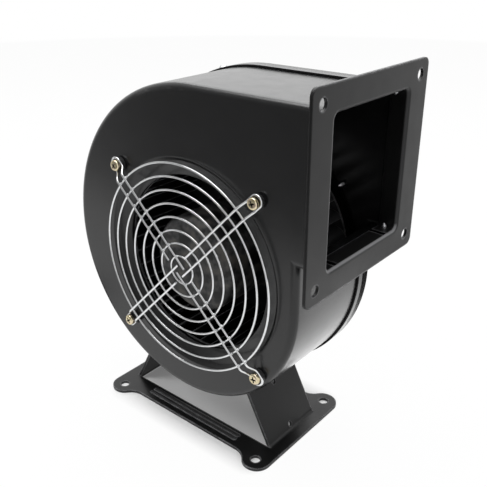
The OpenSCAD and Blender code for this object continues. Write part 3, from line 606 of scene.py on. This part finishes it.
# %% Wind one thread
TAP_RADIUS = 0.0015
THREAD_HALF = 0.00032
THREAD_SEAT = TAP_RADIUS + 0.2 * THREAD_HALF
THREAD_PITCH = 0.0012
THREAD_TURNS = 3
THREAD_STEPS = 14
RUN_OUT_LENGTH = 0.35 * THREAD_PITCH
RUN_OUT = (0.9, 0.9, 1.0)
SAME_POINT = 0.000001

bpy.ops.object.select_all(action="DESELECT")
bpy.ops.mesh.primitive_circle_add(
    vertices=3, radius=THREAD_HALF, location=(THREAD_SEAT, 0.0, 0.0),
    rotation=(math.pi / 2, math.pi / 2, 0.0),
)
threads = bpy.context.object
threads.name = "screw_threads"
bpy.ops.object.transform_apply(location=True, rotation=True, scale=True)
winding = threads.modifiers.new("winding", "SCREW")
winding.axis = "Z"
winding.angle = 2.0 * math.pi
winding.screw_offset = THREAD_PITCH
winding.iterations = THREAD_TURNS
winding.steps = THREAD_STEPS
winding.render_steps = THREAD_STEPS
bpy.ops.object.modifier_apply(modifier=winding.name)
pick_points(threads, lambda point: point.z < RUN_OUT_LENGTH)
bpy.ops.transform.resize(value=RUN_OUT, center_override=MIDDLE)
bpy.ops.mesh.select_all(action="SELECT")
bpy.ops.mesh.remove_doubles(threshold=SAME_POINT)
bpy.ops.mesh.fill_holes(sides=3)
bpy.ops.mesh.normals_make_consistent(inside=False)
bpy.ops.object.mode_set(mode="OBJECT")
print("one thread has", len(threads.data.polygons), "faces")

# %% Turn the point and join it to the thread
POINT_LENGTH = 0.0014
POINT_END = -0.9 * POINT_LENGTH
POINT_TIP = 0.2 * TAP_RADIUS
POINT_ROUNDING = 0.12 * TAP_RADIUS
THREAD_CREASE = math.radians(40.0)

bpy.ops.object.select_all(action="DESELECT")
bpy.ops.mesh.primitive_cone_add(
    vertices=20, radius1=TAP_RADIUS, radius2=POINT_TIP, depth=POINT_LENGTH,
    location=(0.0, 0.0, -POINT_LENGTH / 2), rotation=(math.pi, 0.0, 0.0),
)
point_cone = bpy.context.object
bpy.ops.object.transform_apply(location=True, rotation=True, scale=True)
pick_points(point_cone, lambda point: point.z < POINT_END)
bpy.ops.mesh.bevel(offset=POINT_ROUNDING, segments=3)
bpy.ops.object.mode_set(mode="OBJECT")
bpy.ops.object.select_all(action="DESELECT")
point_cone.select_set(True)
threads.select_set(True)
bpy.context.view_layer.objects.active = threads
bpy.ops.object.join()
bpy.ops.object.shade_smooth_by_angle(angle=THREAD_CREASE)
print("with its point it has", len(threads.data.polygons), "faces")

# %% Put a thread on every tip
PLATE_SCREW_RADIUS = 0.076
PLATE_SCREW_TURNS = [math.radians(38.0 + 60.0 * screw) for screw in range(6)]
PLATE_TIP_Y = 0.03485
SEAM_Y = 0.0338
DUCT_SCREW_X = 0.103
DUCT_TIPS = [(0.23355, 1.0), (0.15445, -1.0)]
TOP_ARC = (Vector((0.0135, SEAM_Y, 0.130)), 0.10355, (110.0, 150.0))
LEFT_ARC = (Vector((0.0035, SEAM_Y, 0.130)), 0.09355, (200.0, 245.0))


def screw_place(tip, towards_head):
    return Matrix.Translation(tip) @ towards_head.to_track_quat("Z", "Y").to_matrix().to_4x4()


tips = []
for turn in PLATE_SCREW_TURNS:
    outward = Vector((math.cos(turn), 0.0, math.sin(turn)))
    tip = AXIS + outward * PLATE_SCREW_RADIUS + Vector((0.0, PLATE_TIP_Y, 0.0))
    tips.append(screw_place(tip, Vector((0.0, 1.0, 0.0))))
for height, up in DUCT_TIPS:
    tips.append(screw_place(Vector((DUCT_SCREW_X, SEAM_Y, height)), Vector((0.0, 0.0, up))))
for centre, reach, degrees in (TOP_ARC, LEFT_ARC):
    for turn in degrees:
        outward = Vector((math.cos(math.radians(turn)), 0.0, math.sin(math.radians(turn))))
        tips.append(screw_place(centre + outward * reach, outward))
spread_copies(threads, tips)
dress_piece(threads, dull_steel)
print("threaded", len(tips), "tips")

# %% [markdown]
# ## Guard screws
# Four yellow-zinc screws clamp the guard. The camera sees their pan heads almost face on, so the
# heads are modelled again with a flat crown, a rolled rim and a cross recess whose walls slope in.
# The recess could be a bump, but it has to hold its shadow from every side, so two tapered wedges
# are cut out of the head.

# %% Turn one pan head and its shank
HEAD_RADIUS = 0.0037
HEAD_HEIGHT = 0.0025
HEAD_CROWN = 0.9 * HEAD_HEIGHT
HEAD_UNDERSIDE = 0.1 * HEAD_HEIGHT
HEAD_ROUNDING = 0.55 * HEAD_HEIGHT
SHANK_RADIUS = 0.0019
SHANK_LENGTH = 0.0089
SHANK_CHAMFER = 0.2 * SHANK_RADIUS

bpy.ops.object.select_all(action="DESELECT")
bpy.ops.mesh.primitive_cylinder_add(
    vertices=36, radius=HEAD_RADIUS, depth=HEAD_HEIGHT, location=(0.0, 0.0, HEAD_HEIGHT / 2)
)
pan_heads = bpy.context.object
pan_heads.name = "guard_pan_heads"
bpy.ops.object.transform_apply(location=True, rotation=True, scale=True)
pick_points(pan_heads, lambda point: point.z > HEAD_CROWN)
bpy.ops.mesh.bevel(offset=HEAD_ROUNDING, segments=6, affect="EDGES")
pick_points(pan_heads, lambda point: point.z < HEAD_UNDERSIDE)
bpy.ops.mesh.inset(thickness=HEAD_RADIUS - SHANK_RADIUS)
bpy.ops.mesh.extrude_region_move(TRANSFORM_OT_translate={"value": (0.0, 0.0, -SHANK_LENGTH)})
bpy.ops.mesh.inset(thickness=SHANK_CHAMFER, depth=SHANK_CHAMFER)
bpy.ops.object.mode_set(mode="OBJECT")
print("turned a head with", len(pan_heads.data.polygons), "faces")

# %% Cut the cross recess
RECESS_LENGTH = 0.0056
RECESS_WIDTH = 0.0014
RECESS_DEPTH = 0.0019
RECESS_TAPER = (0.45, 0.45, 1.0)
HEAD_CREASE = math.radians(35.0)
HEAD_TOP = (0.0, 0.0, HEAD_HEIGHT)

for turn in (0.0, math.pi / 2):
    bpy.ops.object.select_all(action="DESELECT")
    bpy.ops.mesh.primitive_cube_add(size=1.0, location=HEAD_TOP, rotation=(0.0, 0.0, turn))
    wedge = bpy.context.object
    wedge.scale = (RECESS_LENGTH, RECESS_WIDTH, 2.0 * RECESS_DEPTH)
    bpy.ops.object.transform_apply(location=True, rotation=True, scale=True)
    pick_points(wedge, lambda point: point.z < HEAD_HEIGHT)
    bpy.ops.transform.resize(value=RECESS_TAPER, center_override=HEAD_TOP)
    bpy.ops.object.mode_set(mode="OBJECT")
    cut = pan_heads.modifiers.new("recess", "BOOLEAN")
    cut.operation = "DIFFERENCE"
    cut.object = wedge
    bpy.ops.object.select_all(action="DESELECT")
    bpy.context.view_layer.objects.active = pan_heads
    bpy.ops.object.modifier_apply(modifier=cut.name)
    bpy.data.objects.remove(wedge)
bpy.ops.object.select_all(action="DESELECT")
pan_heads.select_set(True)
bpy.ops.object.shade_smooth_by_angle(angle=HEAD_CREASE)
print("with its recess it has", len(pan_heads.data.polygons), "faces")

# %% Drive the four screws
GUARD_SCREW_RADIUS = 0.0796
GUARD_HEAD_Y = -0.04362
DRIVEN_TURNS = [math.radians(angle) for angle in (22.0, 58.0, 35.0, 12.0)]

driven = []
for leg_turn, own_turn in zip(LEG_TURNS, DRIVEN_TURNS):
    outward = Vector((math.cos(leg_turn), 0.0, math.sin(leg_turn)))
    seat = AXIS + outward * GUARD_SCREW_RADIUS + Vector((0.0, GUARD_HEAD_Y, 0.0))
    upright = Matrix.Rotation(math.pi / 2, 4, "X")
    driven.append(Matrix.Translation(seat) @ upright @ Matrix.Rotation(own_turn, 4, "Z"))
spread_copies(pan_heads, driven)
dress_piece(pan_heads, yellow_zinc)
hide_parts("guard_screws")
print("drove", len(driven), "screws")

# %% [markdown]
# ## Stage
# The photograph has a white sweep with hardly any shadow. A wide pale floor catches the soft shadow
# near the stand and fades into plain white further out, where the world takes over. Light Path
# keeps that white for the camera and for reflections only, so it shows in the gloss but doesn't
# flood the shadows.

# %% Lay the floor
FLOOR_RADIUS = 6.0


def seen_ray(finish):
    path = add_node(finish, "LightPath").outputs
    either = combine(finish, "MAXIMUM", path["Is Camera Ray"], path["Is Glossy Ray"])
    return combine(finish, "MAXIMUM", either, path["Is Transmission Ray"])


def mix_shaders(finish, share, lit, seen, output):
    mixed = add_node(finish, "MixShader")
    join(finish, share, mixed.inputs["Fac"])
    join(finish, lit, mixed.inputs[1])
    join(finish, seen, mixed.inputs[2])
    join(finish, mixed.outputs["Shader"], finish.node_tree.nodes[output].inputs["Surface"])


bpy.ops.object.select_all(action="DESELECT")
bpy.ops.mesh.primitive_circle_add(vertices=96, radius=FLOOR_RADIUS, fill_type="NGON")
floor = bpy.context.object
floor.name = "studio_floor"
print("floor reaches", FLOOR_RADIUS, "m")

# %% Paint the floor
WHITE = (1.0, 1.0, 1.0, 1.0)
FLOOR_COLOUR = (0.86, 0.86, 0.86, 1.0)
FLOOR_ROUGHNESS = 0.9
STAND_HALF = (0.060, 0.041)
NEAR_FLOOR = 0.001
FAR_FLOOR = 0.014
SWEEP_FLOOR = 2.0
NEAR_WHITE = 0.12
FAR_WHITE = 0.96


def reach_beyond(finish, half):
    sides = vector_step(finish, "ABSOLUTE", object_place(finish))
    outside = vector_step(finish, "SUBTRACT", sides.outputs["Vector"])
    outside.inputs[1].default_value = (*half, 0.0)
    beyond = vector_step(finish, "MAXIMUM", outside.outputs["Vector"])
    return vector_step(finish, "LENGTH", beyond.outputs["Vector"]).outputs["Value"]


floor_finish, floor_shader = blank_finish("studio_floor")
floor_shader.inputs["Base Color"].default_value = FLOOR_COLOUR
floor_shader.inputs["Roughness"].default_value = FLOOR_ROUGHNESS
floor_reach = reach_beyond(floor_finish, STAND_HALF)
floor_fade = spread(floor_finish, floor_reach, NEAR_WHITE, FAR_WHITE, NEAR_FLOOR, FAR_FLOOR)
floor_sweep = spread(floor_finish, floor_reach, 0.0, 1.0, FAR_FLOOR, SWEEP_FLOOR)
floor_whiter = combine(floor_finish, "MAXIMUM", floor_fade, floor_sweep)
floor_share = combine(floor_finish, "MULTIPLY", floor_whiter, seen_ray(floor_finish))
lit_floor = floor_shader.outputs["BSDF"]
seen_floor = add_node(floor_finish, "Emission", Color=WHITE, Strength=1.0).outputs["Emission"]
mix_shaders(floor_finish, floor_share, lit_floor, seen_floor, "Material Output")
floor.data.materials.append(floor_finish)
print("floor is nearly white from", FAR_FLOOR, "m beyond the stand")

# %% Light the world
AMBIENT_STRENGTH = 0.25

world = bpy.data.worlds.new("white_studio")
world.use_nodes = True
bpy.context.scene.world = world
ambient = world.node_tree.nodes["Background"]
ambient.inputs["Color"].default_value = WHITE
ambient.inputs["Strength"].default_value = AMBIENT_STRENGTH
backdrop = add_node(world, "Background", Color=WHITE, Strength=1.0)
lit_world = ambient.outputs["Background"]
seen_world = backdrop.outputs["Background"]
mix_shaders(world, seen_ray(world), lit_world, seen_world, "World Output")
print("world ambient", AMBIENT_STRENGTH)

# %% [markdown]
# ## Softboxes
# Black gloss paint shows the lamps more than it shows itself. A wide softbox hangs over the
# housing, one behind it on the left is mirrored by its flat top and a higher one by the bend from
# the top to the front. A key from the front left gives the guard its shadow, and one on the outlet
# side lights the flange. A small one on the floor stands for the bounce from the white sweep, which
# the right wall of the scroll mirrors.

# %% Hang the softboxes
HOUSING_MIDDLE = Vector((0.01, 0.0, 0.15))
SOFTBOXES = [
    ("back_softbox", (-0.55, 0.66, 0.60), (0.95, 0.6), 0.8),
    ("high_softbox", (-0.60, 0.72, 1.05), (0.9, 0.45), 3.0),
    ("top_softbox", (-0.10, 0.05, 1.30), (1.1, 1.1), 17.0),
    ("key_softbox", (-0.55, -0.75, 0.95), (0.5, 0.5), 4.0),
    ("side_softbox", (0.75, 0.75, 0.75), (0.7, 0.5), 1.5),
]
BOUNCE_PLACE = Vector((0.135, 0.135, 0.004))
BOUNCE_SIZE = (0.30, 0.10)
BOUNCE_TURN = math.radians(40.0)
BOUNCE_POWER = 0.07


def softbox(name, place, size, power, turn):
    lamp = bpy.data.lights.new(name, "AREA")
    lamp.shape = "RECTANGLE"
    lamp.size, lamp.size_y = size
    lamp.energy = power
    holder = bpy.data.objects.new(name, lamp)
    bpy.context.scene.collection.objects.link(holder)
    holder.location = place
    holder.rotation_euler = turn
    holder.visible_camera = False


for name, place, size, power in SOFTBOXES:
    aim = (HOUSING_MIDDLE - Vector(place)).to_track_quat("-Z", "Y").to_euler()
    softbox(name, place, size, power, aim)
softbox("floor_bounce", BOUNCE_PLACE, BOUNCE_SIZE, BOUNCE_POWER, (math.pi, 0.0, BOUNCE_TURN))
print("hung", len(SOFTBOXES), "softboxes and laid one bounce")

# %% [markdown]
# ## Dark cards
# A black gloss plate mirrors whatever stands in front of it. Photographers stand a grey card there,
# lighter at its far end, so that the plate stays deep black and lifts a little towards its left,
# and lay a black one behind the object to give its rear bends a dark outline. Each card is a plane
# that only reflections see: it neither shades the floor nor shows in any view.

# %% Set up the cards
BLACK = (0.0, 0.0, 0.0, 1.0)
UPRIGHT = (math.radians(90.0), 0.0, 0.0)
DIAGONAL = (0.0, 0.0, math.radians(45.0))
CARDS = [
    ("front_card", (-0.50, -0.32, 0.45), (1.3, 0.9), UPRIGHT, (0.55, 0.25)),
    ("rear_card", (-0.559, 0.647, 0.004), (0.6, 1.6), DIAGONAL, (0.02, 0.02)),
]
CARD_FADE = (-0.50, -0.34)

for name, place, size, turn, glows in CARDS:
    bpy.ops.object.select_all(action="DESELECT")
    bpy.ops.mesh.primitive_plane_add(size=1.0, location=place, rotation=turn)
    card = bpy.context.object
    card.name = name
    card.scale = (*size, 1.0)
    bpy.ops.object.transform_apply(location=True, rotation=True, scale=True)
    card_finish, card_shader = blank_finish(name)
    card_shader.inputs["Base Color"].default_value = BLACK
    card_shader.inputs["Specular IOR Level"].default_value = 0.0
    card_shader.inputs["Emission Color"].default_value = WHITE
    card_places = split_axes(card_finish, object_place(card_finish))
    card_glow = spread(card_finish, card_places["X"], *glows, *CARD_FADE)
    join(card_finish, card_glow, card_shader.inputs["Emission Strength"])
    card.data.materials.append(card_finish)
    card.visible_camera = False
    card.visible_diffuse = False
    card.visible_shadow = False
print("set up", len(CARDS), "cards")
